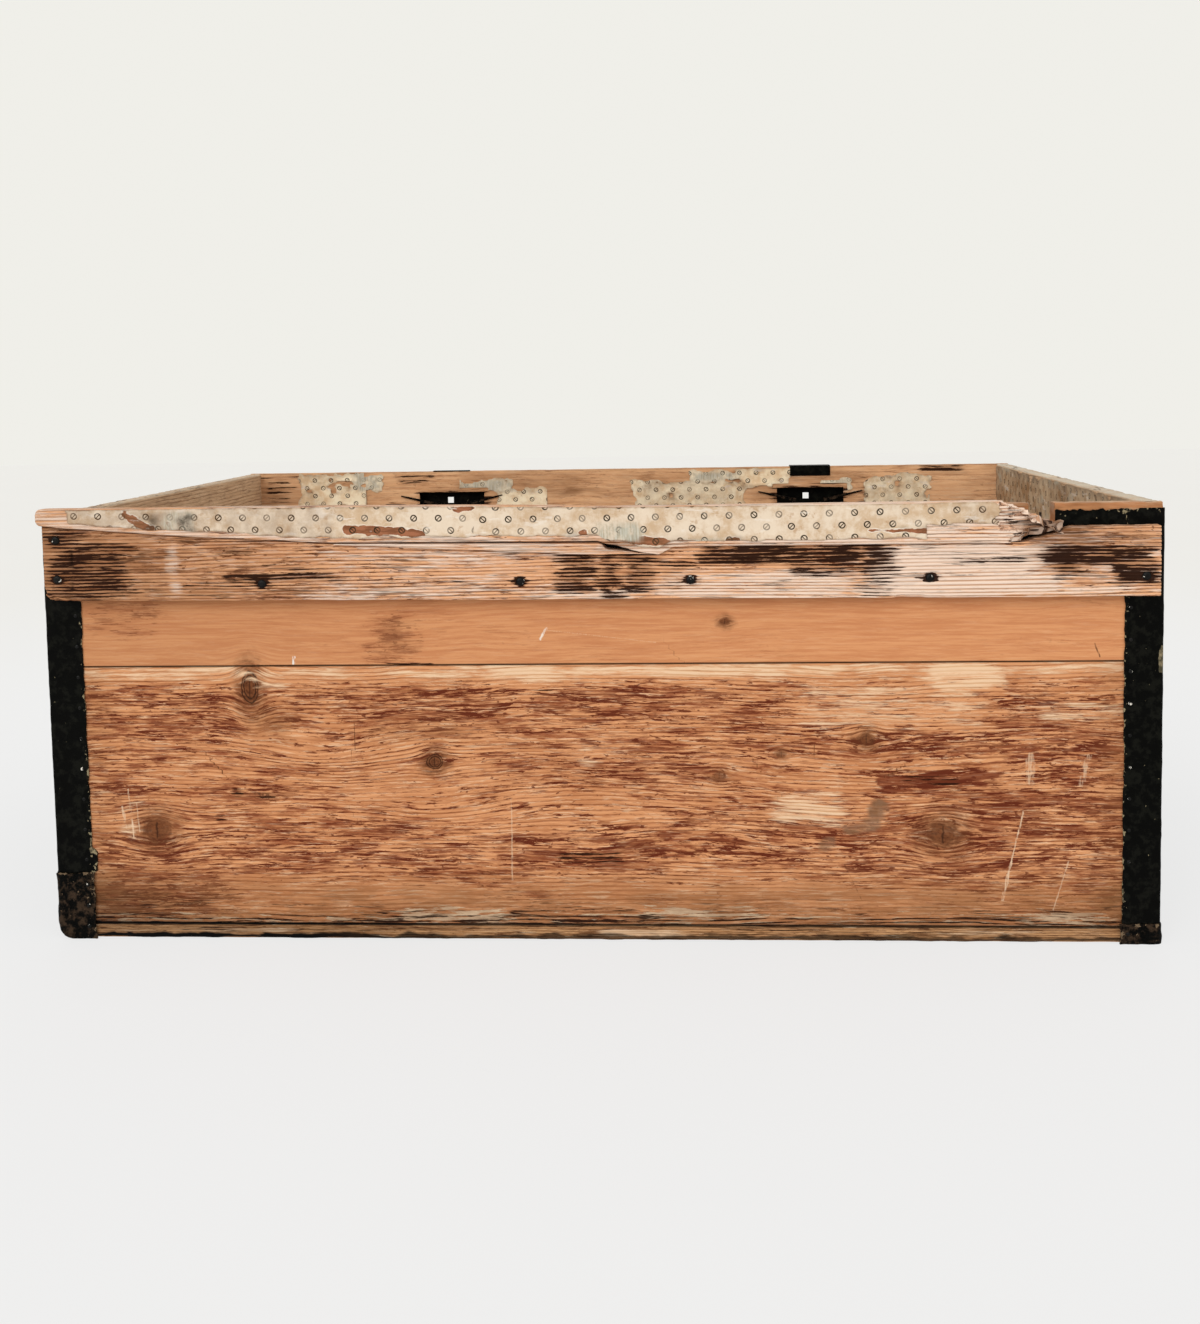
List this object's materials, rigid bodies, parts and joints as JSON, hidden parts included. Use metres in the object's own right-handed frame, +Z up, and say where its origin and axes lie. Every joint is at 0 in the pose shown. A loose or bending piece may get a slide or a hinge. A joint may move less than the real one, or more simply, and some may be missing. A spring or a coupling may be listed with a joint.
{
  "type": "nagamochi chest",
  "caption": "Long open-topped wooden storage chest without its lid, with a split hinge batten, black corner strips, empty lock windows and swinging end bails.",
  "frame": {"origin": "on the floor, under the middle of the carcase", "axes": "+X along the chest to the right seen from the batten side, -Y towards the batten side, +Z up"},
  "size_m": [1.1466, 0.6661, 0.4415],
  "materials": {
    "bare_softwood": "bare, streaked with red-brown stain",
    "bottom_wood": "bare, rough sawn, dirty",
    "lacquered_softwood": "worn black lacquer outside, bare grey-brown wood inside",
    "peg_wood": "bare",
    "bleached_batten": "bleached, ridged grain, iron stains",
    "black_iron": "worn black coating",
    "rusty_iron": "dark rust",
    "nail_iron": "dull, rubbed heads",
    "forged_iron": "forged, blackened",
    "printed_paper": "aged cream paper with small printed rings"
  },
  "bodies": {
    "carcase": {"bottom_board_batten_side": "bottom_wood", "bottom_board_middle": "bottom_wood", "bottom_board_lock_side": "bottom_wood", "batten_side_plank_lower": "bare_softwood", "batten_side_plank_upper": "bare_softwood", "lock_side_plank_lower": "lacquered_softwood", "lock_side_plank_upper": "lacquered_softwood", "left_end_plank_lower": "lacquered_softwood", "left_end_plank_upper": "lacquered_softwood", "right_end_plank_lower": "lacquered_softwood", "right_end_plank_upper": "lacquered_softwood", "seam_pegs": "peg_wood", "corner_pegs": "peg_wood", "batten": "bleached_batten", "split_rail": "bleached_batten", "rail_splinter": "bleached_batten", "corner_strip_batten_side_left": "black_iron", "corner_strip_batten_side_right": "black_iron", "corner_strip_lock_side_left": "black_iron", "corner_strip_lock_side_right": "black_iron", "foot_cap_batten_side_left": "rusty_iron", "foot_cap_batten_side_right": "rusty_iron", "foot_cap_lock_side_left": "rusty_iron", "foot_cap_lock_side_right": "rusty_iron", "rim_band": "black_iron", "rim_tab_right": "black_iron", "lock_plate_left": "black_iron", "lock_plate_right": "black_iron", "rim_sliver_left": "rusty_iron", "lock_split_pins_left": "rusty_iron", "lock_split_pins_right": "rusty_iron", "lock_plate_nails": "rusty_iron", "bottom_nails": "nail_iron", "batten_nails": "nail_iron", "corner_strip_tacks": "nail_iron", "foot_cap_tacks": "nail_iron", "rail_paper": "printed_paper", "paper_right_end": "printed_paper", "paper_lock_side": "printed_paper", "left_bail_eye_batten_side": "forged_iron", "left_bail_eye_lock_side": "forged_iron", "left_bail_roses": "forged_iron", "left_bail_striker": "forged_iron", "right_bail_eye_batten_side": "forged_iron", "right_bail_eye_lock_side": "forged_iron", "right_bail_roses": "forged_iron", "right_bail_striker": "forged_iron"},
    "left_carrying_bail": {"left_bail": "forged_iron"},
    "right_carrying_bail": {"right_bail": "forged_iron"}
  },
  "joints": [
    {"name": "left_bail_swing", "type": "hinge", "parent": "carcase", "child": "left_carrying_bail", "pos_m": [-0.563, 0, 0.364], "axis": [0, 1, 0], "range_deg": [0, 180]},
    {"name": "right_bail_swing", "type": "hinge", "parent": "carcase", "child": "right_carrying_bail", "pos_m": [0.563, 0, 0.364], "axis": [0, -1, 0], "range_deg": [0, 180]}
  ]
}
